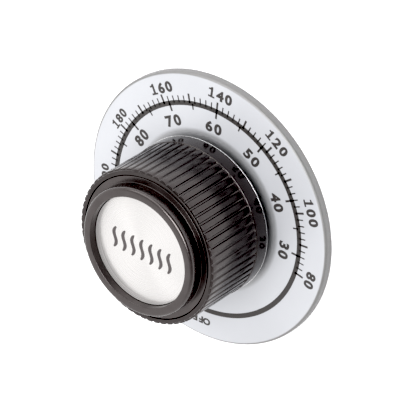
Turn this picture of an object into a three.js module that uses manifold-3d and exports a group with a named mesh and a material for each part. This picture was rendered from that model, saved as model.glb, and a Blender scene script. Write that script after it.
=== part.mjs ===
// Dial knob of a temperature control: a ribbed black grip with a bezel cap and an aluminium inlay, on a
// turned-down aluminium scale dial that can be re-indexed against the grip. Millimetres, +Z along the knob's
// axis, z = 0 at the edge of the dial's skirt, +Y towards the dial's OFF mark.
import * as THREE from "three";
import { mergeVertices } from "three/addons/utils/BufferGeometryUtils.js";
import Module from "manifold-3d";

const wasm = await Module();
wasm.setup();

// ---- driving dimensions ----
const ROUND = 64; // facets round the large turned shapes
const SMALL_ROUND = 16; // facets round screws, posts and holes
const FIT = 0.05; // radial clearance where pieces slide or are pressed together
const EASE = 0.1; // axial gap between stacked pieces
const BITE = 0.3; // how far fused solids run into each other

const DIAL = {
  radius: 38,
  depth: 2.4, // from the skirt's edge to the printed face
  sheet: 0.8,
  edgeRadius: 0.5, // outside radius of the turned-down rim
  hubWallRadius: 15.8, // outside of the drawn-up centre
  hubDraft: 0.4, // by which that wall leans in
  hubTop: 5.2,
  holeRadius: 6.3,
  holeFacets: 36,
  slotRadius: 11.5, // the screws' pitch circle
  slotHalfWidth: 1.8,
  slotHalfAngle: THREE.MathUtils.degToRad(9),
};

const GRIP = {
  ribs: 60,
  grooveFloor: 0.22, // shares of the pitch, at the floor and at the mouth of a groove
  grooveMouth: 0.38,
  ribHeight: 0.4,
  baseRadius: 21.35, // over the ribs, at the collar
  frontRadius: 21.3, // over the ribs, at the front
  ribBottom: 9.2,
  ribTop: 27.0,
  rimTop: 27.3,
  rimRadius: 20.7,
  collarRadius: 21.5,
  collarBottom: 5.2,
  collarTop: 9.0,
  collarEdge: 0.2,
  neckRadius: 18.7, // carries the trim ring
  bottom: 2.5, // of the neck, just clear of the dial
  cavityRadius: 17.0,
  deckBottom: 22.9,
  deckTop: 25.2,
  pocketRadius: 19.7,
  bossRadius: 9.5,
  bossBottom: 5.5,
  spigotRadius: 6.22, // centres the dial
  spigotBottom: 4.45,
  webThickness: 1.6,
  webBottom: 6.4,
  webs: 6,
  postRadius: 3,
};

const CAP = {
  radius: 19.5,
  bottom: 25.3,
  flat: 27.1, // the ledge between the parting groove and the bezel
  edge: 27.25, // outer edge of that ledge
  bezelFootRadius: 17.65,
  bezelRadius: 17.6,
  bezelTop: 30.75,
  bezelRound: 0.85, // of its outer edge
  recessRadius: 15.15,
  recessFloor: 27.9,
  edgeBreak: 0.15,
  snapCircle: 13.4,
  snapRadius: 1.4,
  snapBottom: 21.5,
  snapHookRadius: 1.8,
  snapHookTop: 22.7,
};

const INLAY = { radius: 15.05, thickness: 0.6, glue: 0.2, glueRadius: 14.0, edgeBreak: 0.1, gap: 0.01 };

const TRIM = { outer: 21.6, bottom: 4.95, top: 5.15, edgeBreak: 0.06 }; // bright ring under the collar

const BUSH = {
  radius: 5.2,
  knurl: 0.2,
  teeth: 20,
  bottom: 2.8,
  top: 18.0,
  boreRadius: 3.2, // for a 6.35 mm shaft
  boreEnd: 17.2, // blind end, where the shaft stops
  flat: 2.4, // from the axis to the D flat
  slotHalfWidth: 1.5,
  slotDepth: 3.2,
  slotEnd: 16.6, // closed end of the spring's slot
};

const SPRING = { halfWidth: 1.3, thickness: 0.3, bottom: 3.6, top: 16.4, bow: 0.25, backGap: 0.05 };

const SCREW = {
  count: 3,
  radius: 1.5,
  top: 10.4,
  headRadius: 2.8,
  headBottom: 0.7,
  headTop: 2.4,
  slotWidth: 0.7,
  slotDepth: 0.7,
  slotLength: 3.64,
  insertRadius: 2.1,
  insertTop: 11.2,
  tipGap: 0.4, // between the screw's tip and the end of its hole
};

const CLAMP = { inner: 6.6, outer: 14.2, bottom: 3.0, top: 3.7, hole: 1.7 };
const WAVE = { inner: 6.7, outer: 9.3, thickness: 0.2, middle: 4.05, swing: 0.18, waves: 3 };
const FRICTION = { inner: 6.4, outer: 14.6, bottom: 5.26, top: 5.44, hole: 1.9 };
const LOCK = { inner: 1.7, outer: 2.7, bottom: 2.45, top: 2.95, gap: 0.6 };

// ---- materials ----
function plain(color, roughness, metalness) {
  return new THREE.MeshStandardMaterial({ color, roughness, metalness });
}
const BLACK_PLASTIC = plain(0x1d1b1c, 0.35, 0);
const CAP_PLASTIC = plain(0x201d1e, 0.3, 0);
const DIAL_METAL = plain(0xd9dce4, 0.35, 1);
const INLAY_METAL = plain(0xe8e6e4, 0.3, 1);
const BRIGHT_METAL = plain(0xf0f0f2, 0.2, 1);
const ADHESIVE = plain(0xd8d2c0, 0.6, 0);
const BRASS = plain(0xb5934a, 0.35, 1);
const STEEL = plain(0x8f9296, 0.4, 1);
const SPRING_STEEL = plain(0x6d7074, 0.35, 1);
const FIBRE = plain(0x7a4a36, 0.8, 0);

// ---- solids ----
function solid(geometry) {
  const flat = geometry.index ? geometry.toNonIndexed() : geometry;
  const bare = new THREE.BufferGeometry().setAttribute("position", flat.getAttribute("position"));
  const merged = mergeVertices(bare, 1e-4);
  return new wasm.Manifold(
    new wasm.Mesh({
      numProp: 3,
      vertProperties: new Float32Array(merged.attributes.position.array),
      triVerts: new Uint32Array(merged.index.array),
    }),
  );
}

function geometryOf(body) {
  const mesh = body.getMesh();
  return new THREE.BufferGeometry()
    .setAttribute("position", new THREE.BufferAttribute(mesh.vertProperties, mesh.numProp))
    .setIndex(new THREE.BufferAttribute(mesh.triVerts, 1));
}

// A profile of [radius, z] points, given from the lower axis outwards and up, turned about +Z.
function turned(profile, facets = ROUND) {
  const points = profile.map(([r, z]) => new THREE.Vector2(r, z));
  return solid(new THREE.LatheGeometry(points, facets).rotateX(Math.PI / 2));
}

function disc(radius, bottom, top, facets = ROUND) {
  return turned([[0, bottom], [radius, bottom], [radius, top], [0, top]], facets);
}

function ring(inner, outer, bottom, top, facets = ROUND) {
  return disc(outer, bottom, top, facets).subtract(disc(inner, bottom - 1, top + 1, facets));
}

function block(width, length, bottom, top, x = 0, y = 0, angle = 0) {
  const box = new THREE.BoxGeometry(width, length, top - bottom);
  return solid(box.translate(x, y, (top + bottom) / 2).rotateZ(angle));
}

function prism(shape, bottom, top, curveSegments = 12) {
  const options = { depth: top - bottom, bevelEnabled: false, curveSegments };
  return solid(new THREE.ExtrudeGeometry(shape, options).translate(0, 0, bottom));
}

function shapeOf(points) {
  return new THREE.Shape(points.map(([x, y]) => new THREE.Vector2(x, y)));
}

function around(count, start = 0) {
  return Array.from({ length: count }, (_, i) => start + (i * 2 * Math.PI) / count);
}

function polar(radius, angle) {
  return [radius * Math.cos(angle), radius * Math.sin(angle)];
}

// A rounded outer corner of a profile, from its side up to its top.
function corner(outer, top, round, steps) {
  return Array.from({ length: steps + 1 }, (_, i) => {
    const [x, y] = polar(round, (i * Math.PI) / 2 / steps);
    return [outer - round + x, top - round + y];
  });
}

// A post or hole: a cylinder standing on a circle about the axis.
function peg(radius, bottom, top, circle, angle) {
  const [x, y] = polar(circle, angle);
  const round = new THREE.CylinderGeometry(radius, radius, top - bottom, SMALL_ROUND);
  return solid(round.rotateX(Math.PI / 2).translate(x, y, (top + bottom) / 2));
}

// Walls between two outlines with equal numbers of points, closed by flat ends.
function loft(lower, upper, bottom, top) {
  const faces = THREE.ShapeUtils.triangulateShape(lower.map(([x, y]) => new THREE.Vector2(x, y)), []);
  const at = ([x, y], z) => [x, y, z];
  const corners = [];
  lower.forEach((point, i) => {
    const next = (i + 1) % lower.length;
    const [a, b] = [at(point, bottom), at(lower[next], bottom)];
    const [c, d] = [at(upper[next], top), at(upper[i], top)];
    corners.push(a, b, c, a, c, d);
  });
  faces.forEach(([i, j, k]) => {
    corners.push(at(lower[i], bottom), at(lower[k], bottom), at(lower[j], bottom));
    corners.push(at(upper[i], top), at(upper[j], top), at(upper[k], top));
  });
  const position = new THREE.Float32BufferAttribute(corners.flat(), 3);
  return solid(new THREE.BufferGeometry().setAttribute("position", position));
}

const SCREW_ANGLES = around(SCREW.count, Math.PI / 2);
const SNAP_ANGLES = around(3, Math.PI / 6);

// ---- dial ----

function arcSlot(angle) {
  const { slotRadius, slotHalfWidth, slotHalfAngle } = DIAL;
  const steps = 2;
  const cuts = Array.from({ length: 2 * steps + 1 }, (_, i) => {
    const turn = angle + (slotHalfAngle * (i - steps)) / steps;
    return peg(slotHalfWidth, 0, DIAL.hubTop + 1, slotRadius, turn);
  });
  return cuts.reduce((a, b) => a.add(b));
}

function dialSkirt() {
  const { radius, depth, sheet, edgeRadius, hubWallRadius, hubDraft, hubTop, holeRadius } = DIAL;
  const outside = [
    [0, 0],
    [radius, 0],
    ...corner(radius, depth, edgeRadius, 3),
    [hubWallRadius, depth],
    [hubWallRadius - hubDraft, hubTop],
    [0, hubTop],
  ];
  const inside = [
    [0, -1],
    [radius - sheet, -1],
    [radius - sheet, depth - sheet],
    [hubWallRadius - sheet, depth - sheet],
    [hubWallRadius - sheet - hubDraft, hubTop - sheet],
    [0, hubTop - sheet],
  ];
  let body = turned(outside).subtract(turned(inside));
  body = body.subtract(disc(holeRadius, 0, hubTop + 1, DIAL.holeFacets));
  SCREW_ANGLES.forEach((angle) => {
    body = body.subtract(arcSlot(angle));
  });
  return body;
}

// ---- grip ----
function ribOutline(topRadius) {
  const pitch = (2 * Math.PI) / GRIP.ribs;
  const foot = (pitch * GRIP.grooveFloor) / 2;
  const crest = (pitch * GRIP.grooveMouth) / 2;
  const floorRadius = topRadius - GRIP.ribHeight;
  return around(GRIP.ribs).flatMap((angle) => [
    polar(floorRadius, angle + foot),
    polar(topRadius, angle + crest),
    polar(topRadius, angle + pitch - crest),
    polar(floorRadius, angle + pitch - foot),
  ]);
}

function gripShell() {
  const g = GRIP;
  const floor = (r) => r - g.ribHeight;
  const outside = [
    [0, g.bottom],
    [g.neckRadius, g.bottom],
    [g.neckRadius, g.collarBottom],
    [g.collarRadius - g.collarEdge, g.collarBottom],
    [g.collarRadius, g.collarBottom + g.collarEdge],
    [g.collarRadius, g.collarTop],
    [floor(g.baseRadius), g.ribBottom],
    [floor(g.frontRadius), g.ribTop],
    [g.rimRadius, g.rimTop],
    [0, g.rimTop],
  ];
  const ribs = loft(ribOutline(g.baseRadius), ribOutline(g.frontRadius), g.ribBottom - BITE, g.ribTop);
  return turned(outside, GRIP.ribs)
    .add(ribs)
    .subtract(disc(g.cavityRadius, 0, g.deckBottom))
    .subtract(disc(g.pocketRadius, g.deckTop, g.rimTop + 1));
}

function knobBody() {
  const g = GRIP;
  const spigot = disc(g.spigotRadius, g.spigotBottom, g.bossBottom + BITE, DIAL.holeFacets);
  let core = disc(g.bossRadius, g.bossBottom, g.deckBottom + BITE, 32).add(spigot);
  around(g.webs).forEach((angle) => {
    const length = g.cavityRadius + BITE - g.bossRadius / 2;
    const middle = g.bossRadius / 2 + length / 2;
    const web = block(length, g.webThickness, g.webBottom, g.deckBottom + BITE, middle, 0, angle);
    core = core.add(web);
  });
  SCREW_ANGLES.forEach((angle) => {
    core = core.add(peg(g.postRadius, g.bossBottom, g.deckBottom + BITE, DIAL.slotRadius, angle));
  });
  let body = gripShell().add(core);
  body = body.subtract(disc(BUSH.radius + FIT, 0, BUSH.top + EASE, 40));
  SCREW_ANGLES.forEach((angle) => {
    body = body.subtract(
      peg(SCREW.insertRadius + FIT, 0, SCREW.insertTop + EASE, DIAL.slotRadius, angle),
    );
  });
  SNAP_ANGLES.forEach((angle) => {
    body = body.subtract(
      peg(CAP.snapRadius + 2 * FIT, g.deckBottom - 1, g.rimTop, CAP.snapCircle, angle),
    );
  });
  return body;
}

// ---- front cap and inlay ----
function frontCap() {
  const c = CAP;
  let body = turned([
    [0, c.bottom],
    [c.radius, c.bottom],
    [c.radius, c.edge - c.edgeBreak],
    [c.radius - c.edgeBreak, c.edge],
    [c.bezelFootRadius + c.edgeBreak, c.flat],
    [c.bezelFootRadius, c.flat + c.edgeBreak],
    ...corner(c.bezelRadius, c.bezelTop, c.bezelRound, 4),
    [c.recessRadius + c.edgeBreak, c.bezelTop],
    [c.recessRadius, c.bezelTop - c.edgeBreak],
    [c.recessRadius, c.recessFloor],
    [0, c.recessFloor],
  ]);
  SNAP_ANGLES.forEach((angle) => {
    body = body
      .add(peg(c.snapRadius, c.snapBottom, c.bottom + BITE, c.snapCircle, angle))
      .add(peg(c.snapHookRadius, c.snapBottom, c.snapHookTop, c.snapCircle, angle));
  });
  return body;
}

function inlayDisc() {
  const bottom = CAP.recessFloor + INLAY.glue + INLAY.gap;
  const top = bottom + INLAY.thickness;
  const { radius, edgeBreak } = INLAY;
  return turned([
    [0, bottom],
    [radius, bottom],
    [radius, top - edgeBreak],
    [radius - edgeBreak, top],
    [0, top],
  ]);
}

// A thin ring pressed over the grip's neck; its edge shows under the collar.
function collarTrim() {
  const { outer, bottom, top, edgeBreak } = TRIM;
  return turned([
    [0, bottom],
    [outer - edgeBreak, bottom],
    [outer, bottom + edgeBreak],
    [outer, top - edgeBreak],
    [outer - edgeBreak, top],
    [0, top],
  ]).subtract(disc(GRIP.neckRadius + FIT, bottom - 1, top + 1));
}

// ---- shaft bush ----
function knurledOutline() {
  const pitch = (2 * Math.PI) / BUSH.teeth;
  return around(BUSH.teeth).flatMap((angle) => [
    polar(BUSH.radius, angle),
    polar(BUSH.radius - BUSH.knurl, angle + pitch / 2),
  ]);
}

function dBore() {
  const half = Math.acos(BUSH.flat / BUSH.boreRadius);
  const steps = 28;
  return Array.from({ length: steps + 1 }, (_, i) => {
    const angle = Math.PI / 2 + half + (i * (2 * Math.PI - 2 * half)) / steps;
    return polar(BUSH.boreRadius, angle);
  });
}

function shaftBush() {
  const { bottom, boreEnd, slotHalfWidth, slotDepth, slotEnd } = BUSH;
  const bore = prism(shapeOf(dBore()), bottom - 1, boreEnd);
  const slot = block(2 * slotHalfWidth, slotDepth, bottom - 1, slotEnd, 0, slotDepth / 2);
  return prism(shapeOf(knurledOutline()), BUSH.bottom, BUSH.top).subtract(bore).subtract(slot);
}

// A bowed leaf that lies in the slot behind the D flat and presses on the shaft.
function shaftSpring() {
  const { halfWidth, thickness, bottom, top, bow } = SPRING;
  const steps = 8;
  const back = BUSH.slotDepth - SPRING.backGap;
  const side = (offset) =>
    Array.from({ length: steps + 1 }, (_, i) => {
      const t = i / steps;
      return [bottom + t * (top - bottom), back - offset - bow * Math.sin(Math.PI * t)];
    });
  const outline = [...side(thickness), ...side(0).reverse()];
  const shape = new THREE.Shape(outline.map(([z, y]) => new THREE.Vector2(y, z)));
  const options = { depth: 2 * halfWidth, bevelEnabled: false };
  const strip = new THREE.ExtrudeGeometry(shape, options).translate(0, 0, -halfWidth);
  // the outline's first axis becomes +Y, its second +Z, and its depth +X
  const turn = new THREE.Matrix4().makeBasis(
    new THREE.Vector3(0, 1, 0),
    new THREE.Vector3(0, 0, 1),
    new THREE.Vector3(1, 0, 0),
  );
  return solid(strip.applyMatrix4(turn));
}

// ---- clamping stack ----
function drilledRing({ inner, outer, bottom, top, hole }) {
  return SCREW_ANGLES.reduce(
    (plate, angle) => plate.subtract(peg(hole, bottom - 1, top + 1, DIAL.slotRadius, angle)),
    ring(inner, outer, bottom, top, 36),
  );
}

function waveWasher() {
  const steps = 36;
  const outlines = around(steps).map((angle) => {
    const middle = WAVE.middle + WAVE.swing * Math.cos(WAVE.waves * angle);
    const inner = polar(WAVE.inner, angle);
    const outer = polar(WAVE.outer, angle);
    const low = middle - WAVE.thickness / 2;
    const high = middle + WAVE.thickness / 2;
    return [[...inner, low], [...outer, low], [...outer, high], [...inner, high]];
  });
  const corners = outlines.flatMap((here, i) => {
    const next = outlines[(i + 1) % steps];
    return here.flatMap((point, k) => {
      const side = (k + 1) % 4;
      return [point, next[side], here[side], point, next[k], next[side]];
    });
  });
  const position = new THREE.Float32BufferAttribute(corners.flat(), 3);
  return solid(new THREE.BufferGeometry().setAttribute("position", position));
}

function clampScrew(angle) {
  const shank = peg(SCREW.radius, SCREW.headTop - BITE, SCREW.top, DIAL.slotRadius, angle);
  const head = peg(SCREW.headRadius, SCREW.headBottom, SCREW.headTop, DIAL.slotRadius, angle);
  const [x, y] = polar(DIAL.slotRadius, angle);
  const slot = (length, width) =>
    block(length, width, SCREW.headBottom - 1, SCREW.headBottom + SCREW.slotDepth, x, y);
  return shank
    .add(head)
    .subtract(slot(SCREW.slotLength, SCREW.slotWidth))
    .subtract(slot(SCREW.slotWidth, SCREW.slotLength));
}

function lockWasher(angle) {
  const [x, y] = polar(DIAL.slotRadius, angle);
  const { inner, outer, bottom, top, gap } = LOCK;
  return peg(outer, bottom, top, DIAL.slotRadius, angle)
    .subtract(peg(inner, bottom - 1, top + 1, DIAL.slotRadius, angle))
    .subtract(block(gap, outer + 1, bottom - 1, top + 1, x, y + (outer + 1) / 2));
}

function screwInsert(angle) {
  return peg(SCREW.insertRadius, GRIP.bossBottom, SCREW.insertTop, DIAL.slotRadius, angle).subtract(
    peg(SCREW.radius + FIT, GRIP.bossBottom - 1, SCREW.top + SCREW.tipGap, DIAL.slotRadius, angle),
  );
}

// ---- assembly ----
const assembly = new THREE.Group();

function place(name, body, material) {
  const mesh = new THREE.Mesh(geometryOf(body), material);
  mesh.name = name;
  assembly.add(mesh);
}

place("knob_body", knobBody(), BLACK_PLASTIC);
place("front_cap", frontCap(), CAP_PLASTIC);
place("inlay_disc", inlayDisc(), INLAY_METAL);
place("inlay_adhesive", disc(INLAY.glueRadius, CAP.recessFloor, CAP.recessFloor + INLAY.glue, 36), ADHESIVE);
place("collar_trim", collarTrim(), BRIGHT_METAL);
place("dial_skirt", dialSkirt(), DIAL_METAL);
place("shaft_bush", shaftBush(), BRASS);
place("shaft_spring", shaftSpring(), SPRING_STEEL);
place("friction_washer", drilledRing(FRICTION), FIBRE);
place("wave_washer", waveWasher(), SPRING_STEEL);
place("clamp_plate", drilledRing(CLAMP), STEEL);
SCREW_ANGLES.forEach((angle, i) => {
  place(`screw_insert_${i + 1}`, screwInsert(angle), BRASS);
  place(`clamp_screw_${i + 1}`, clampScrew(angle), STEEL);
  place(`lock_washer_${i + 1}`, lockWasher(angle), SPRING_STEEL);
});

export default assembly;
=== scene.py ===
import math

import bmesh
import bpy
from mathutils import Matrix, Vector


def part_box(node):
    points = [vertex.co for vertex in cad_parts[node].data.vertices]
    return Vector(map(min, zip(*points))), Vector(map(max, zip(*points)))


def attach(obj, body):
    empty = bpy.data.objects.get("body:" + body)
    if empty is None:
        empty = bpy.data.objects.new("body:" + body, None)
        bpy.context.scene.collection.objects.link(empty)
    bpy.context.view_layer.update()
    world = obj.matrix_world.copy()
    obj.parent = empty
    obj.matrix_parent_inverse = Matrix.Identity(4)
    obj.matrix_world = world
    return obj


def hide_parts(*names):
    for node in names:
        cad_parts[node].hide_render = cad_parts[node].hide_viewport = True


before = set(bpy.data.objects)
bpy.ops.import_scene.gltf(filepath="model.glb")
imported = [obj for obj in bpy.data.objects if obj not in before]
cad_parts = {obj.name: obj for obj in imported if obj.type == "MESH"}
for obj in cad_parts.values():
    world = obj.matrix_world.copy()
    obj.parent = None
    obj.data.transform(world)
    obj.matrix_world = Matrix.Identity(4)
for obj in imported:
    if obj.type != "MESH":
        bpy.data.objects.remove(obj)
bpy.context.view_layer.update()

MM = 0.001
ROUND = 224  # facets round the large turned pieces
MEDIUM = 96  # facets round the boss, the spigot and the bush's bore
FINE_ARC = 6  # steps in a fillet of a turned profile

# ---- driving sizes, from the frame ----
_, dial_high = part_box("dial_skirt")
_, grip_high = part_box("knob_body")
cap_low, cap_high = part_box("front_cap")
inlay_low, inlay_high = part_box("inlay_disc")
_, bush_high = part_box("shaft_bush")
insert_low, insert_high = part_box("screw_insert_1")
trim_low, trim_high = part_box("collar_trim")

DIAL_RADIUS = dial_high.x
FACE_Z = 2.4 * MM  # the dial's printed face
SHEET = 0.8 * MM  # thickness of the dial
HUB_TOP = dial_high.z
HUB_RADIUS = 15.8 * MM
HUB_DRAFT = 0.4 * MM  # how far the hub's wall slopes in
HUB_HOLE = 6.3 * MM
RIM_TOP = grip_high.z
COLLAR_RADIUS = grip_high.x
CAP_RADIUS = cap_high.x
CAP_BOTTOM = 25.3 * MM  # underside of the cap's plate
BEZEL_TOP = cap_high.z
INLAY_RADIUS = inlay_high.x
INLAY_TOP = inlay_high.z
SCREW_CIRCLE = 11.5 * MM
SCREW_ANGLES = [math.radians(90 + 120 * i) for i in range(3)]
SNAP_ANGLES = [math.radians(30 + 120 * i) for i in range(3)]

RIBS = 60
RIB_HEIGHT = 0.4 * MM
RIB_START = 9.2 * MM
RIB_END = RIM_TOP - 0.3 * MM
CREST_BASE = 21.35 * MM  # radius over the ribs, at the collar
CREST_FRONT = 21.3 * MM  # radius over the ribs, at the front
RIM_RADIUS = 20.75 * MM  # outer edge of the grip's front face
GRIP_BOTTOM = 2.5 * MM
NECK_RADIUS = 18.7 * MM
COLLAR_BOTTOM = 5.2 * MM
CAVITY_RADIUS = 17.0 * MM
DECK_BOTTOM = 22.9 * MM
DECK_TOP = 25.2 * MM
POCKET_RADIUS = CAP_RADIUS + 0.2 * MM
BOSS_RADIUS = 9.5 * MM
BOSS_BOTTOM = 5.5 * MM
SPIGOT_RADIUS = 6.22 * MM  # the dial turns on it
SPIGOT_BOTTOM = 4.45 * MM
POST_RADIUS = 3.0 * MM
WEBS = 6
WEB_START = 5.0 * MM  # inside the boss
WEB_BOTTOM = 6.4 * MM
WEB_THICKNESS = 1.6 * MM
SLOT_HALF_WIDTH = 1.8 * MM
SLOT_HALF_ANGLE = math.radians(9)  # how far the dial turns each way
SNAP_CIRCLE = 13.4 * MM
SNAP_HOLE_RADIUS = 1.5 * MM
SNAP_LEG_RADIUS = 1.4 * MM
SNAP_FOOT_RADIUS = 1.8 * MM
SNAP_FOOT_HEIGHT = 1.2 * MM
CLEARANCE = 0.05 * MM
OVERLAP = 0.3 * MM  # how far joined bodies run into each other


# ---- mesh helpers ----
def new_object(name, mesh):
    obj = bpy.data.objects.new(name, mesh)
    bpy.context.scene.collection.objects.link(obj)
    return obj


def mesh_from(name, verts, faces):
    mesh = bpy.data.meshes.new(name)
    mesh.from_pydata(verts, [], faces)
    bm = bmesh.new()
    bm.from_mesh(mesh)
    bmesh.ops.remove_doubles(bm, verts=bm.verts, dist=1e-7)
    bmesh.ops.recalc_face_normals(bm, faces=bm.faces)
    bm.to_mesh(mesh)
    bm.free()
    return mesh


def smooth(obj, angle=28):
    """Smooth shading, except over edges that bend by more than an angle in degrees."""
    obj.data.shade_smooth()
    obj.data.set_sharp_from_angle(angle=math.radians(angle))


def fillet(corners):
    """The (radius, z) points of a profile given as (radius, z, fillet radius) corners."""
    points = []
    for i, (x, z, round_radius) in enumerate(corners):
        here = Vector((x, z))
        if round_radius <= 0 or i in (0, len(corners) - 1):
            points.append(here)
            continue
        before = Vector(corners[i - 1][:2]) - here
        after = Vector(corners[i + 1][:2]) - here
        half = before.angle(after) / 2
        # The arc ends before the middle of either side, so that neighbours have room.
        reach = min(round_radius / math.tan(half), 0.49 * before.length, 0.49 * after.length)
        radius = reach * math.tan(half)
        start = here + before.normalized() * reach
        inward = (before.normalized() + after.normalized()).normalized()
        centre = here + inward * radius / math.sin(half)
        end = here + after.normalized() * reach
        turn = (start - centre).angle_signed(end - centre)
        for k in range(FINE_ARC + 1):
            spoke = start - centre
            spoke.rotate(Matrix.Rotation(-turn * k / FINE_ARC, 2))
            points.append(centre + spoke)
    return [(p.x, p.y) for p in points]


def turned(name, profile, segments=ROUND, closed=False):
    """A solid turned about +Z: the profile starts and ends on the axis, or closes on itself."""
    verts = []
    for k in range(segments):
        angle = 2 * math.pi * k / segments
        verts += [(r * math.cos(angle), r * math.sin(angle), z) for r, z in profile]
    return mesh_from(name, verts, grid_faces(segments, len(profile), closed))


def grid_faces(columns, rows, closed):
    """Faces between neighbouring columns of points that go once round the axis."""
    faces = []
    for k in range(columns):
        nxt = (k + 1) % columns
        for j in range(rows if closed else rows - 1):
            up = (j + 1) % rows
            faces.append((k * rows + j, nxt * rows + j, nxt * rows + up, k * rows + up))
    return faces


def prism(name, outline, bottom, top):
    """An outline of (x, y) points drawn up between two heights."""
    count = len(outline)
    verts = [(x, y, z) for z in (bottom, top) for x, y in outline]
    sides = [(k, (k + 1) % count, count + (k + 1) % count, count + k) for k in range(count)]
    return mesh_from(name, verts, sides + [tuple(range(count)), tuple(range(count, 2 * count))])


def cylinder(radius, bottom, top, circle=0.0, angle=0.0, segments=48):
    """An upright cylinder, at an angle on a circle round the knob's axis."""
    mesh = turned("cutter", [(0, bottom), (radius, bottom), (radius, top), (0, top)], segments)
    mesh.transform(Matrix.Translation((circle * math.cos(angle), circle * math.sin(angle), 0)))
    return mesh


def radial_block(inner, outer, width, bottom, top, angle):
    """A straight bar that points away from the axis."""
    half = width / 2
    outline = [(inner, -half), (outer, -half), (outer, half), (inner, half)]
    mesh = prism("block", outline, bottom, top)
    mesh.transform(Matrix.Rotation(angle, 4, "Z"))
    return mesh


def strip_faces(steps):
    """Faces of a bar of four-cornered sections, with its two ends closed."""
    faces = [(0, 1, 3, 2), tuple(4 * steps + i for i in (0, 2, 3, 1))]
    for k in range(steps):
        for a, b in ((0, 1), (1, 3), (3, 2), (2, 0)):
            faces.append((4 * k + a, 4 * k + b, 4 * k + 4 + b, 4 * k + 4 + a))
    return faces


def combine(name, target, others, operation):
    """Joins other meshes to a mesh, or cuts them from it, one after another."""
    obj = new_object(name, target)
    for other in others:
        tool = new_object("tool", other)
        modifier = obj.modifiers.new("cut", "BOOLEAN")
        modifier.operation = operation
        modifier.solver = "EXACT"
        modifier.object = tool
        graph = bpy.context.evaluated_depsgraph_get()
        result = bpy.data.meshes.new_from_object(obj.evaluated_get(graph))
        obj.modifiers.clear()
        obj.data = result
        bpy.data.objects.remove(tool)
    mesh = obj.data
    bpy.data.objects.remove(obj)
    return mesh


def merged(meshes):
    """Several meshes put into one, as they are."""
    bm = bmesh.new()
    for mesh in meshes:
        bm.from_mesh(mesh)
    joined = bpy.data.meshes.new("merged")
    bm.to_mesh(joined)
    bm.free()
    return joined


# ---- dial ----
def slot_cutter(angle):
    """A curved slot with round ends, drawn up into a prism."""
    steps = 8
    outline = []
    for side in (1, -1):
        radius = SCREW_CIRCLE + side * SLOT_HALF_WIDTH
        for k in range(steps + 1):
            a = angle + side * SLOT_HALF_ANGLE * (1 - 2 * k / steps)
            outline.append((radius * math.cos(a), radius * math.sin(a)))
        end = angle - side * SLOT_HALF_ANGLE
        centre = Vector((SCREW_CIRCLE * math.cos(end), SCREW_CIRCLE * math.sin(end)))
        first = end if side > 0 else end + math.pi
        for k in range(1, steps):
            a = first - math.pi * k / steps
            x = centre.x + SLOT_HALF_WIDTH * math.cos(a)
            y = centre.y + SLOT_HALF_WIDTH * math.sin(a)
            outline.append((x, y))
    return prism("slot", outline, 0, HUB_TOP + MM)


def make_dial():
    """The sheet-metal dial: a raised hub, a flat face and a turned-down rim."""
    top_inner = HUB_RADIUS - HUB_DRAFT
    back = FACE_Z - SHEET
    profile = fillet(
        [
            (HUB_HOLE, HUB_TOP, 0),
            (top_inner, HUB_TOP, 0.5 * MM),
            (HUB_RADIUS, FACE_Z, 0.35 * MM),
            (DIAL_RADIUS, FACE_Z, 0.78 * MM),
            (DIAL_RADIUS, 0, 0.25 * MM),
            (DIAL_RADIUS - SHEET, 0, 0.12 * MM),
            (DIAL_RADIUS - SHEET, back, 0.1 * MM),
            (HUB_RADIUS - SHEET, back, 0.4 * MM),
            (top_inner - SHEET, HUB_TOP - SHEET, 0.3 * MM),
            (HUB_HOLE, HUB_TOP - SHEET, 0),
        ]
    )
    body = turned("dial_plate", profile, ROUND, closed=True)
    body = combine("dial_plate", body, [slot_cutter(a) for a in SCREW_ANGLES], "DIFFERENCE")
    obj = new_object("dial_plate", body)
    smooth(obj)
    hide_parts("dial_skirt")
    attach(obj, "dial")
    return obj


# ---- grip ----
# One rib across its pitch: (share of the pitch, share of the rib's height).
RIB_HALF = [
    (0, 0), (0.075, 0), (0.1, 0.07), (0.165, 0.74),
    (0.19, 0.94), (0.22, 1), (0.36, 1), (0.5, 1),
]
RIB_SECTION = RIB_HALF + [(1 - s, h) for s, h in reversed(RIB_HALF[1:-1])]


def crest_at(z):
    """Radius over the ribs at a height."""
    share = (z - RIB_START) / (RIB_END - RIB_START)
    return CREST_BASE + (CREST_FRONT - CREST_BASE) * share


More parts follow.
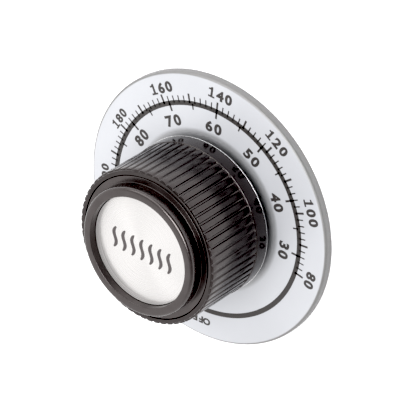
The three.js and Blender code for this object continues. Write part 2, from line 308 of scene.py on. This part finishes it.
def grip_stations():
    """Rows of the grip's wall, from the cavity's roof down, out and up to the deck.

    Each is a smooth radius, a height and the share of the ribs that shows there.
    """
    base = CREST_BASE - RIB_HEIGHT
    front = CREST_FRONT - RIB_HEIGHT
    rows = [(0, DECK_BOTTOM, 0)]
    cavity = fillet(
        [
            (0, DECK_BOTTOM, 0),
            (CAVITY_RADIUS, DECK_BOTTOM, 0.5 * MM),
            (CAVITY_RADIUS, GRIP_BOTTOM, 0),
        ]
    )
    rows += [(r, z, 0) for r, z in cavity[1:]]
    collar = fillet(
        [
            (CAVITY_RADIUS, GRIP_BOTTOM, 0),
            (NECK_RADIUS, GRIP_BOTTOM, 0.2 * MM),
            (NECK_RADIUS, COLLAR_BOTTOM, 0.15 * MM),
            (COLLAR_RADIUS, COLLAR_BOTTOM, 0.16 * MM),
            (COLLAR_RADIUS, RIB_START - 0.2 * MM, 0.12 * MM),
            (CREST_BASE, RIB_START - 0.1 * MM, 0),
        ]
    )
    rows += [(r, z, 0) for r, z in collar[1:]]
    # The ribs start on the collar, and the grooves between them are rounded at their foot.
    rows += [
        (CREST_BASE - 0.06 * MM, RIB_START - 0.02 * MM, 1),
        (base + 0.12 * MM, RIB_START + 0.05 * MM, 1),
        (base, RIB_START + 0.25 * MM, 1),
    ]
    for share in (0.3, 0.6, 0.9):
        rows.append((base + (front - base) * share, RIB_START + (RIB_END - RIB_START) * share, 1))
    # At the front the ribs round off.
    rows += [
        (front, RIB_END - 0.2 * MM, 1),
        (front, RIB_END - 0.08 * MM, 0.86),
        (front, RIB_END - 0.01 * MM, 0.5),
        (front, RIB_END, 0),
    ]
    shoulder = fillet(
        [
            (front, RIB_END, 0),
            (RIM_RADIUS, RIM_TOP, 0.12 * MM),
            (POCKET_RADIUS, RIM_TOP, 0.06 * MM),
            (POCKET_RADIUS, DECK_TOP, 0.1 * MM),
            (0, DECK_TOP, 0),
        ]
    )
    rows += [(r, z, 0) for r, z in shoulder[1:]]
    return rows


def make_grip_shell():
    """The ribbed outer wall with its cavity, as a grid of points round the axis."""
    rows = grip_stations()
    pitch = 2 * math.pi / RIBS
    verts = []
    columns = 0
    for rib in range(RIBS):
        for share, height in RIB_SECTION:
            angle = pitch * (rib + share)
            columns += 1
            for radius, z, shown in rows:
                lift = max(0.0, crest_at(z) - radius) * height * shown
                r = radius + lift
                verts.append((r * math.cos(angle), r * math.sin(angle), z))
    return mesh_from("grip", verts, grid_faces(columns, len(rows), closed=False))


def grip_core():
    """The boss, spigot, webs and screw posts inside the grip."""
    roof = DECK_BOTTOM + OVERLAP
    core = [cylinder(BOSS_RADIUS, BOSS_BOTTOM, roof, segments=MEDIUM)]
    core.append(cylinder(SPIGOT_RADIUS, SPIGOT_BOTTOM, BOSS_BOTTOM + OVERLAP, segments=MEDIUM))
    web_end = CAVITY_RADIUS + OVERLAP
    for i in range(WEBS):
        angle = 2 * math.pi * i / WEBS
        core.append(radial_block(WEB_START, web_end, WEB_THICKNESS, WEB_BOTTOM, roof, angle))
    core += [cylinder(POST_RADIUS, BOSS_BOTTOM, roof, SCREW_CIRCLE, a) for a in SCREW_ANGLES]
    return core


def grip_bores():
    """The holes for the bush, the screw inserts and the cap's snap legs."""
    bush_radius = bush_high.x + CLEARANCE
    bush_top = bush_high.z + 2 * CLEARANCE
    insert_radius = (insert_high.x - insert_low.x) / 2 + CLEARANCE
    insert_top = insert_high.z + 2 * CLEARANCE
    bores = [cylinder(bush_radius, 0, bush_top, segments=MEDIUM)]
    bores += [cylinder(insert_radius, 0, insert_top, SCREW_CIRCLE, a) for a in SCREW_ANGLES]
    hole_bottom = DECK_BOTTOM - MM
    bores += [cylinder(SNAP_HOLE_RADIUS, hole_bottom, RIM_TOP, SNAP_CIRCLE, a) for a in SNAP_ANGLES]
    return merged(bores)


def make_grip():
    body = combine("grip", make_grip_shell(), grip_core(), "UNION")
    body = combine("grip", body, [grip_bores()], "DIFFERENCE")
    obj = new_object("grip", body)
    smooth(obj, 35)
    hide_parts("knob_body")
    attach(obj, "knob")
    return obj


# ---- front cap and inlay ----
def make_cap():
    """The front cap: a ledge, a raised bezel, a recess for the inlay, and three snap legs."""
    ledge_inner = 27.1 * MM
    ledge_outer = 27.25 * MM
    bezel_foot = 17.65 * MM
    bezel_edge = 17.6 * MM
    recess = 15.15 * MM
    recess_floor = 27.9 * MM
    profile = fillet(
        [
            (0, CAP_BOTTOM, 0),
            (CAP_RADIUS, CAP_BOTTOM, 0.1 * MM),
            (CAP_RADIUS, ledge_outer, 0.12 * MM),
            (bezel_foot, ledge_inner, 0.14 * MM),
            (bezel_edge, BEZEL_TOP, 0.85 * MM),
            (recess, BEZEL_TOP, 0.16 * MM),
            (recess, recess_floor, 0.1 * MM),
            (0, recess_floor, 0),
        ]
    )
    body = turned("cap", profile)
    legs = []
    foot_top = cap_low.z + SNAP_FOOT_HEIGHT
    for angle in SNAP_ANGLES:
        legs.append(cylinder(SNAP_LEG_RADIUS, cap_low.z, CAP_BOTTOM + OVERLAP, SNAP_CIRCLE, angle))
        legs.append(cylinder(SNAP_FOOT_RADIUS, cap_low.z, foot_top, SNAP_CIRCLE, angle))
    obj = new_object("bezel_cap", combine("cap", body, legs, "UNION"))
    smooth(obj)
    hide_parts("front_cap")
    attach(obj, "knob")
    return obj


def make_inlay():
    profile = fillet(
        [
            (0, inlay_low.z, 0),
            (INLAY_RADIUS, inlay_low.z, 0.04 * MM),
            (INLAY_RADIUS, INLAY_TOP, 0.12 * MM),
            (0, INLAY_TOP, 0),
        ]
    )
    obj = new_object("spun_inlay", turned("inlay", profile))
    smooth(obj)
    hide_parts("inlay_disc")
    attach(obj, "knob")
    return obj


def make_trim():
    """The bright ring under the collar, with turned edges."""
    inner = NECK_RADIUS + CLEARANCE
    outer = trim_high.x
    edge = 0.07 * MM
    profile = fillet(
        [
            (inner, (trim_low.z + trim_high.z) / 2, 0),
            (inner, trim_low.z, 0.02 * MM),
            (outer, trim_low.z, edge),
            (outer, trim_high.z, edge),
            (inner, trim_high.z, 0.02 * MM),
        ]
    )
    obj = new_object("trim_ring", turned("trim", profile, closed=True))
    smooth(obj, 40)
    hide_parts("collar_trim")
    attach(obj, "knob")
    return obj


# ---- printing ----
INK = 0.02 * MM  # thickness of the printed ink
FAHRENHEIT = range(80, 201, 2)
CELSIUS = range(30, 91, 5)
DEGREES_PER_F = 5 / 3  # turn of the dial for one degree Fahrenheit
TOP_F = 140  # stands at -Y
OFF_ANGLE = math.radians(90)
# The ring and the ends of the marks, in shares of the dial's radius.
RING_MIDDLE = 0.779
RING_HALF = 0.0176
RING_STEPS = 200
LONG_F_END = 0.848
SHORT_F_END = 0.83
LONG_C_END = 0.722
SHORT_C_END = 0.735
LONG_WIDTH = 0.55 * MM
SHORT_F_WIDTH = 0.34 * MM
SHORT_C_WIDTH = 0.4 * MM
# Where the numerals stand, in shares of the dial's radius: the printing is a little uneven.
OUTER_NUMERALS = {80: 0.903, 100: 0.911, 120: 0.909, 140: 0.903, 160: 0.892, 180: 0.881, 200: 0.881}
INNER_NUMERALS = {30: 0.657, 40: 0.643, 50: 0.645, 60: 0.648, 70: 0.655, 80: 0.67, 90: 0.672}
OUTER_DIGIT = 0.078  # height of the numerals, in shares of the dial's radius
INNER_DIGIT = 0.082
SMALLER_PAST = 170  # past this mark the outer numerals are a little smaller
SMALLER = 0.86
# The outer numerals stand a little closer together than their marks, and the inner ones wider apart.
OUTER_SPREAD = -0.018
INNER_SPREAD = 0.02
SPREAD_FROM = math.radians(-140)  # the angle where numerals and marks agree
# The word OFF, in shares of the dial's radius, and how far it stands past the ring's start.
OFF_RADIUS = 0.872
OFF_DIGIT = 0.054
OFF_SHIFT = math.radians(3.6)


def angle_of(fahrenheit):
    """The angle at which a temperature stands on the dial, in radians from +X."""
    return math.radians(-90 + (fahrenheit - TOP_F) * DEGREES_PER_F)


def spread(angle, share):
    """A numeral's angle, moved from its mark's by a share of the way from SPREAD_FROM."""
    return angle + share * (angle - SPREAD_FROM)


def arc_band(inner, outer, start, end):
    """A flat curved band of ink between two radii."""
    verts = []
    for k in range(RING_STEPS + 1):
        angle = start + (end - start) * k / RING_STEPS
        for radius in (inner, outer):
            for z in (0, INK):
                verts.append((radius * math.cos(angle), radius * math.sin(angle), z))
    return mesh_from("band", verts, strip_faces(RING_STEPS))


# The outline of a 1 with a foot, for digits 1 high.
ONE = [
    (-0.33, 0), (0.33, 0), (0.33, 0.16), (0.12, 0.16), (0.12, 1), (-0.05, 1),
    (-0.14, 0.88), (-0.33, 0.85), (-0.33, 0.71), (-0.1, 0.71), (-0.1, 0.16), (-0.33, 0.16),
]
ADVANCE = 0.9  # from one character to the next, in heights
STRETCH = 1.12  # width given to the built-in font's characters
WEIGHT = 0.045  # how far their outlines are pushed out


def character(letter):
    """One character 1 high and 1 thick, standing on the X axis and centred on it."""
    if letter == "1":
        return prism("one", ONE, 0, 1)
    curve = bpy.data.curves.new("text", "FONT")
    curve.body = letter
    curve.extrude = 0.5
    curve.offset = WEIGHT
    curve.resolution_u = 5
    obj = new_object("text", curve)
    graph = bpy.context.evaluated_depsgraph_get()
    mesh = bpy.data.meshes.new_from_object(obj.evaluated_get(graph))
    bpy.data.objects.remove(obj)
    xs = [v.co.x for v in mesh.vertices]
    ys = [v.co.y for v in mesh.vertices]
    scale = 1 / (max(ys) - min(ys))
    mesh.transform(Matrix.Translation((-(min(xs) + max(xs)) / 2, -min(ys), 0.5)))
    mesh.transform(Matrix.Diagonal((scale * STRETCH, scale, 1, 1)))
    return mesh


def written_at(text, radius, angle, height):
    """Characters in a straight row, their tops pointing away from the dial's middle."""
    middle = (len(text) - 1) / 2
    parts = []
    for i, letter in enumerate(text):
        mesh = character(letter)
        shift = (i - middle) * ADVANCE
        mesh.transform(Matrix.Translation((shift, -0.5, 0)))
        parts.append(mesh)
    row = merged(parts)
    row.transform(Matrix.Diagonal((height, height, INK, 1)))
    row.transform(Matrix.Rotation(angle - math.pi / 2, 4, "Z") @ Matrix.Translation((0, radius, 0)))
    return row


def fahrenheit_print(fahrenheit):
    """The mark, and on every second long mark the numeral, outside the ring."""
    r = DIAL_RADIUS
    angle = angle_of(fahrenheit)
    end, width = (LONG_F_END, LONG_WIDTH) if fahrenheit % 10 == 0 else (SHORT_F_END, SHORT_F_WIDTH)
    parts = [radial_block(RING_MIDDLE * r, end * r, width, 0, INK, angle)]
    if fahrenheit % 20 == 0:
        digit = OUTER_DIGIT * r * (SMALLER if fahrenheit > SMALLER_PAST else 1)
        radius = OUTER_NUMERALS[fahrenheit] * r
        parts.append(written_at(str(fahrenheit), radius, spread(angle, OUTER_SPREAD), digit))
    return parts


def celsius_print(celsius):
    """The mark, and on every long mark the numeral, inside the ring."""
    r = DIAL_RADIUS
    angle = angle_of(32 + 1.8 * celsius)
    end, width = (LONG_C_END, LONG_WIDTH) if celsius % 10 == 0 else (SHORT_C_END, SHORT_C_WIDTH)
    parts = [radial_block(end * r, RING_MIDDLE * r, width, 0, INK, angle)]
    if celsius % 10 == 0:
        radius = INNER_NUMERALS[celsius] * r
        parts.append(written_at(str(celsius), radius, spread(angle, INNER_SPREAD), INNER_DIGIT * r))
    return parts


def make_scale():
    """All that is printed on the dial. The ring runs from OFF round to 200 F."""
    r = DIAL_RADIUS
    ring_end = angle_of(200) + 2 * math.pi
    ring_inner = (RING_MIDDLE - RING_HALF) * r
    ring_outer = (RING_MIDDLE + RING_HALF) * r
    parts = [arc_band(ring_inner, ring_outer, OFF_ANGLE, ring_end)]
    for fahrenheit in FAHRENHEIT:
        parts += fahrenheit_print(fahrenheit)
    for celsius in CELSIUS:
        parts += celsius_print(celsius)
    parts.append(written_at("OFF", OFF_RADIUS * r, OFF_ANGLE + OFF_SHIFT, OFF_DIGIT * r))
    mesh = merged(parts)
    mesh.transform(Matrix.Translation((0, 0, FACE_Z)))
    obj = new_object("dial_scale", mesh)
    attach(obj, "dial")
    return obj


WAVES = 7
WAVE_PITCH = 2.9 * MM
WAVE_HEIGHT = 6.0 * MM
WAVE_SWING = 0.5 * MM  # to each side
WAVE_WIDTH = 1.15 * MM
END_WIDTH = 0.35  # width of a stroke's ends, in shares of its full width


def wave_line(x):
    """One upright wavy stroke of ink, narrower at its ends."""
    steps = 28
    verts = []
    for k in range(steps + 1):
        t = k / steps
        y = (t - 0.5) * WAVE_HEIGHT
        bend = WAVE_SWING * math.sin(2 * math.pi * t)
        half = WAVE_WIDTH * (END_WIDTH + (1 - END_WIDTH) * math.sin(math.pi * t) ** 0.5) / 2
        for side in (-1, 1):
            for z in (0, INK):
                verts.append((x + bend + side * half, y, z))
    return mesh_from("wave", verts, strip_faces(steps))


def make_mark():
    """A plain sign for heat on the inlay: a row of rising waves."""
    middle = (WAVES - 1) / 2
    mesh = merged([wave_line((i - middle) * WAVE_PITCH) for i in range(WAVES)])
    mesh.transform(Matrix.Translation((0, 0, INLAY_TOP)) @ Matrix.Rotation(math.pi, 4, "Z"))
    obj = new_object("heat_mark", mesh)
    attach(obj, "knob")
    return obj


# ---- materials ----
def new_material(name, color, roughness, metallic=0.0):
    material = bpy.data.materials.new(name)
    material.use_nodes = True
    shader = material.node_tree.nodes["Principled BSDF"]
    shader.inputs["Base Color"].default_value = (*color, 1)
    shader.inputs["Roughness"].default_value = roughness
    shader.inputs["Metallic"].default_value = metallic
    return material, shader


def add_node(material, kind, **settings):
    node = material.node_tree.nodes.new(kind)
    for key, value in settings.items():
        setattr(node, key, value)
    return node


def link(material, source, target):
    material.node_tree.links.new(source, target)


def noise(material, scale, detail, vector=None):
    """Noise with so many cells to a metre, in the object's own space unless told otherwise."""
    node = add_node(material, "ShaderNodeTexNoise")
    node.inputs["Scale"].default_value = scale
    node.inputs["Detail"].default_value = detail
    if vector is None:
        vector = add_node(material, "ShaderNodeTexCoord").outputs["Object"]
    link(material, vector, node.inputs["Vector"])
    return node.outputs["Fac"]


def remap(material, value, low, high, from_low=0.3, from_high=0.7):
    """A value brought to a new range: noise lies mostly between 0.3 and 0.7."""
    node = add_node(material, "ShaderNodeMapRange")
    node.inputs["From Min"].default_value = from_low
    node.inputs["From Max"].default_value = from_high
    node.inputs["To Min"].default_value = low
    node.inputs["To Max"].default_value = high
    link(material, value, node.inputs["Value"])
    return node.outputs["Result"]


def blend_colors(material, factor, first, second):
    """Mixes two colours, each of them fixed or another node's output."""
    node = add_node(material, "ShaderNodeMix", data_type="RGBA")
    sockets = [s for s in node.inputs if s.type == "RGBA"]
    for socket, color in zip(sockets, (first, second)):
        if isinstance(color, tuple):
            socket.default_value = (*color, 1)
        else:
            link(material, color, socket)
    link(material, factor, node.inputs["Factor"])
    return [s for s in node.outputs if s.type == "RGBA"][0]


def bump(material, shader, height, strength, distance):
    node = add_node(material, "ShaderNodeBump")
    node.inputs["Strength"].default_value = strength
    node.inputs["Distance"].default_value = distance
    link(material, height, node.inputs["Height"])
    link(material, node.outputs["Normal"], shader.inputs["Normal"])


def radius_of(material):
    """Distance from the knob's axis."""
    coords = add_node(material, "ShaderNodeTexCoord")
    flat = add_node(material, "ShaderNodeVectorMath", operation="MULTIPLY")
    flat.inputs[1].default_value = (1, 1, 0)
    link(material, coords.outputs["Object"], flat.inputs[0])
    length = add_node(material, "ShaderNodeVectorMath", operation="LENGTH")
    link(material, flat.outputs["Vector"], length.inputs[0])
    return length.outputs["Value"]


def lathe_rings(material, scale):
    """Noise that changes only with the distance from the axis, as a lathe leaves it."""
    along = add_node(material, "ShaderNodeCombineXYZ")
    link(material, radius_of(material), along.inputs["X"])
    return noise(material, scale, 4, along.outputs["Vector"])


def black_plastic(name, color, roughness, ior):
    """Moulded plastic, faintly mottled, with its roughness between two values."""
    material, shader = new_material(name, color, roughness[0])
    shader.inputs["IOR"].default_value = ior
    shader.inputs["Specular Tint"].default_value = (1.0, 0.915, 0.905, 1)
    mottle = noise(material, 260, 4)
    paler = tuple(c * 1.9 for c in color)
    mottled = blend_colors(material, remap(material, mottle, 0, 1), color, paler)
    link(material, mottled, shader.inputs["Base Color"])
    haze = noise(material, 900, 5)
    link(material, remap(material, haze, *roughness), shader.inputs["Roughness"])
    bump(material, shader, noise(material, 2600, 2), 0.05, 0.01 * MM)
    return material


def dial_metal():
    """Satin lacquered face, bare turned metal on the rim, and a darker metal band round the collar as
    painted shade.
    """
    material, shader = new_material("dial_satin", (0.66, 0.67, 0.71), 0.4)
    cloud = remap(material, noise(material, 45, 3), 0, 1)
    face = blend_colors(material, cloud, (0.455, 0.463, 0.488), (0.485, 0.493, 0.518))
    radius = radius_of(material)
    rim = remap(material, radius, 0, 1, DIAL_RADIUS - 0.75 * MM, DIAL_RADIUS - 0.45 * MM)
    # Painted shade: out to just past the collar the dial turns darker and more metallic, standing in
    # for the collar's shadow.
    hub = remap(material, radius, 0.55, 0, COLLAR_RADIUS + 0.5 * MM, COLLAR_RADIUS + 1.5 * MM)
    larger = add_node(material, "ShaderNodeMath", operation="MAXIMUM")
    link(material, rim, larger.inputs[0])
    link(material, hub, larger.inputs[1])
    bare_rim_and_collar_shade = larger.outputs["Value"]
    grain = noise(material, 2600, 5)
    speckle = remap(material, grain, 0, 1)
    # The bare rim's metal colour, which the band round the collar also takes as painted shade.
    metal = blend_colors(material, speckle, (0.245, 0.243, 0.242), (0.29, 0.288, 0.286))
    link(material, blend_colors(material, bare_rim_and_collar_shade, face, metal), shader.inputs["Base Color"])
    link(material, remap(material, bare_rim_and_collar_shade, 0.3, 1.0, 0, 1), shader.inputs["Metallic"])
    rougher = add_node(material, "ShaderNodeMath", operation="MULTIPLY_ADD")
    rougher.inputs[1].default_value = 0.2
    link(material, bare_rim_and_collar_shade, rougher.inputs[0])
    link(material, remap(material, grain, 0.36, 0.46), rougher.inputs[2])
    link(material, rougher.outputs["Value"], shader.inputs["Roughness"])
    bump(material, shader, noise(material, 1800, 2), 0.04, 0.006 * MM)
    return material


def spun_metal():
    """The inlay, with the sheen that runs out from the middle of spun metal."""
    material, shader = new_material("inlay_spun", (0.55, 0.54, 0.53), 0.27, 0.55)
    rings = lathe_rings(material, 7000)
    lines = remap(material, rings, 0, 1)
    color = blend_colors(material, lines, (0.53, 0.519, 0.514), (0.552, 0.541, 0.535))
    link(material, color, shader.inputs["Base Color"])
    link(material, remap(material, lathe_rings(material, 2500), 0.24, 0.32), shader.inputs["Roughness"])
    shader.inputs["Anisotropic"].default_value = 0.85
    tangent = add_node(material, "ShaderNodeTangent", direction_type="RADIAL", axis="Z")
    link(material, tangent.outputs["Tangent"], shader.inputs["Tangent"])
    bump(material, shader, rings, 0.02, 0.003 * MM)
    return material


def ink(name, color):
    """Printed ink, faintly speckled."""
    material, shader = new_material(name, color, 0.5)
    speck = noise(material, 3000, 3)
    denser = tuple(c * 0.65 for c in color)
    speckled = blend_colors(material, remap(material, speck, 0, 1), denser, color)
    link(material, speckled, shader.inputs["Base Color"])
    link(material, remap(material, speck, 0.42, 0.6), shader.inputs["Roughness"])
    return material


def machined(name, color, roughness, metallic=1.0):
    """A turned or stamped finish, with a fine grain and lathe rings."""
    material, shader = new_material(name, color, roughness, metallic)
    grain = noise(material, 2200, 4)
    darker = tuple(c * 0.8 for c in color)
    grained = blend_colors(material, remap(material, grain, 0, 1), darker, color)
    link(material, grained, shader.inputs["Base Color"])
    uneven = remap(material, grain, roughness * 0.75, roughness * 1.3)
    link(material, uneven, shader.inputs["Roughness"])
    bump(material, shader, lathe_rings(material, 4000), 0.15, 0.006 * MM)
    return material


def dress(obj, material):
    obj.data.materials.clear()
    obj.data.materials.append(material)


# ---- stage ----
# The photograph's viewing angle: where the camera stands, in degrees, and how it is rolled.
VIEW_AZIMUTH = -41.87
VIEW_ELEVATION = 44.03
VIEW_ROLL = -121.67
VIEW_DISTANCE = 0.77056  # metres
VIEW_LENS = 260.24  # millimetres
VIEW_AIM = Vector((0, -0.64, 1.9)) * MM
STUDIO_WHITE = 1.55  # strength of the light from the studio's walls
STUDIO_DARK = 0.08  # its strength from the photographer's side
DARK_COSINE = 0.9  # it is darkest within this cosine of the camera's direction
BLACK_LEVEL = 0.042  # brightness that the picture shows as black


def direction(azimuth, elevation):
    """A unit vector, with its azimuth in degrees from -Y towards +X."""
    a, e = math.radians(azimuth), math.radians(elevation)
    return Vector((math.sin(a) * math.cos(e), -math.cos(a) * math.cos(e), math.sin(e)))


def make_camera():
    data = bpy.data.cameras.new("camera")
    data.lens = VIEW_LENS
    data.sensor_width = 36
    data.clip_start = 0.01
    data.clip_end = 100
    cam = bpy.data.objects.new("camera", data)
    bpy.context.scene.collection.objects.link(cam)
    back = direction(VIEW_AZIMUTH, VIEW_ELEVATION)
    cam.location = VIEW_AIM + back * VIEW_DISTANCE
    level = (-back).to_track_quat("-Z", "Y").to_matrix()
    cam.rotation_euler = (level @ Matrix.Rotation(math.radians(VIEW_ROLL), 3, "Z")).to_euler()
    bpy.context.scene.camera = cam


def make_floor():
    half = 8.0
    verts = [(-half, -half, 0), (half, -half, 0), (half, half, 0), (-half, half, 0)]
    floor = new_object("floor", mesh_from("floor", verts, [(0, 1, 2, 3)]))
    material, shader = new_material("floor_white", (0.95, 0.95, 0.96), 0.7)
    shader.inputs["Specular IOR Level"].default_value = 0.2
    dress(floor, material)


def area_light(name, azimuth, elevation, distance, size, power):
    """A round soft light that points at the origin."""
    data = bpy.data.lights.new(name, "AREA")
    data.shape = "DISK"
    data.size = size
    data.energy = power
    light = bpy.data.objects.new(name, data)
    bpy.context.scene.collection.objects.link(light)
    way = direction(azimuth, elevation)
    light.location = way * distance
    light.rotation_euler = (-way).to_track_quat("-Z", "Y").to_euler()


def make_world():
    """A white studio with one darker side, where the photographer stands."""
    world = bpy.data.worlds.new("studio")
    bpy.context.scene.world = world
    world.use_nodes = True
    tree = world.node_tree
    background = tree.nodes["Background"]
    coords = tree.nodes.new("ShaderNodeTexCoord")
    dot = tree.nodes.new("ShaderNodeVectorMath")
    dot.operation = "DOT_PRODUCT"
    dot.inputs[1].default_value = direction(VIEW_AZIMUTH, VIEW_ELEVATION)
    tree.links.new(coords.outputs["Generated"], dot.inputs[0])
    ramp = tree.nodes.new("ShaderNodeMapRange")
    ramp.inputs["From Min"].default_value = 0.0
    ramp.inputs["From Max"].default_value = DARK_COSINE
    ramp.inputs["To Min"].default_value = STUDIO_WHITE
    ramp.inputs["To Max"].default_value = STUDIO_DARK
    tree.links.new(dot.outputs["Value"], ramp.inputs["Value"])
    background.inputs["Color"].default_value = (1.0, 0.995, 0.99, 1)
    tree.links.new(ramp.outputs["Result"], background.inputs["Strength"])


def set_exposure():
    """The contrast of a product photograph, with deep blacks and a white ground."""
    settings = bpy.context.scene.view_settings
    settings.view_transform = "Standard"
    settings.use_curve_mapping = True
    settings.curve_mapping.black_level = (BLACK_LEVEL,) * 3
    settings.curve_mapping.update()


def make_stage():
    make_floor()
    make_world()
    area_light("overhead", azimuth=-42, elevation=70, distance=0.5, size=0.35, power=2.9)
    area_light("side", azimuth=25, elevation=40, distance=0.5, size=0.5, power=1.5)
    set_exposure()


# ---- assembly ----
make_camera()
make_stage()

GRIP_PLASTIC = black_plastic("grip_plastic", (0.0075, 0.0065, 0.0065), (0.12, 0.18), ior=1.6)
CAP_PLASTIC = black_plastic("cap_plastic", (0.0125, 0.011, 0.011), (0.17, 0.25), ior=1.72)
STEEL = machined("zinc_steel", (0.5, 0.51, 0.53), 0.32)
SPRING_STEEL = machined("spring_steel", (0.33, 0.34, 0.36), 0.3)
BRASS = machined("brass", (0.68, 0.5, 0.22), 0.28)
FIBRE = machined("fibre", (0.36, 0.2, 0.13), 0.8, metallic=0.0)
ADHESIVE = machined("adhesive", (0.7, 0.66, 0.55), 0.6, metallic=0.0)
DIAL_INK = ink("dial_ink", (0.048, 0.044, 0.043))
MARK_INK = ink("mark_ink", (0.075, 0.066, 0.066))

dress(make_dial(), dial_metal())
dress(make_grip(), GRIP_PLASTIC)
dress(make_cap(), CAP_PLASTIC)
dress(make_inlay(), spun_metal())
dress(make_trim(), machined("bright_trim", (0.7, 0.7, 0.71), 0.22))
dress(make_scale(), DIAL_INK)
dress(make_mark(), MARK_INK)

CAD_FINISHES = {
    "inlay_adhesive": ADHESIVE,
    "shaft_bush": BRASS,
    "shaft_spring": SPRING_STEEL,
    "friction_washer": FIBRE,
    "wave_washer": SPRING_STEEL,
    "clamp_plate": STEEL,
}
for number in (1, 2, 3):
    CAD_FINISHES[f"screw_insert_{number}"] = BRASS
    CAD_FINISHES[f"clamp_screw_{number}"] = STEEL
    CAD_FINISHES[f"lock_washer_{number}"] = SPRING_STEEL
for node_name, finish in CAD_FINISHES.items():
    dress(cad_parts[node_name], finish)
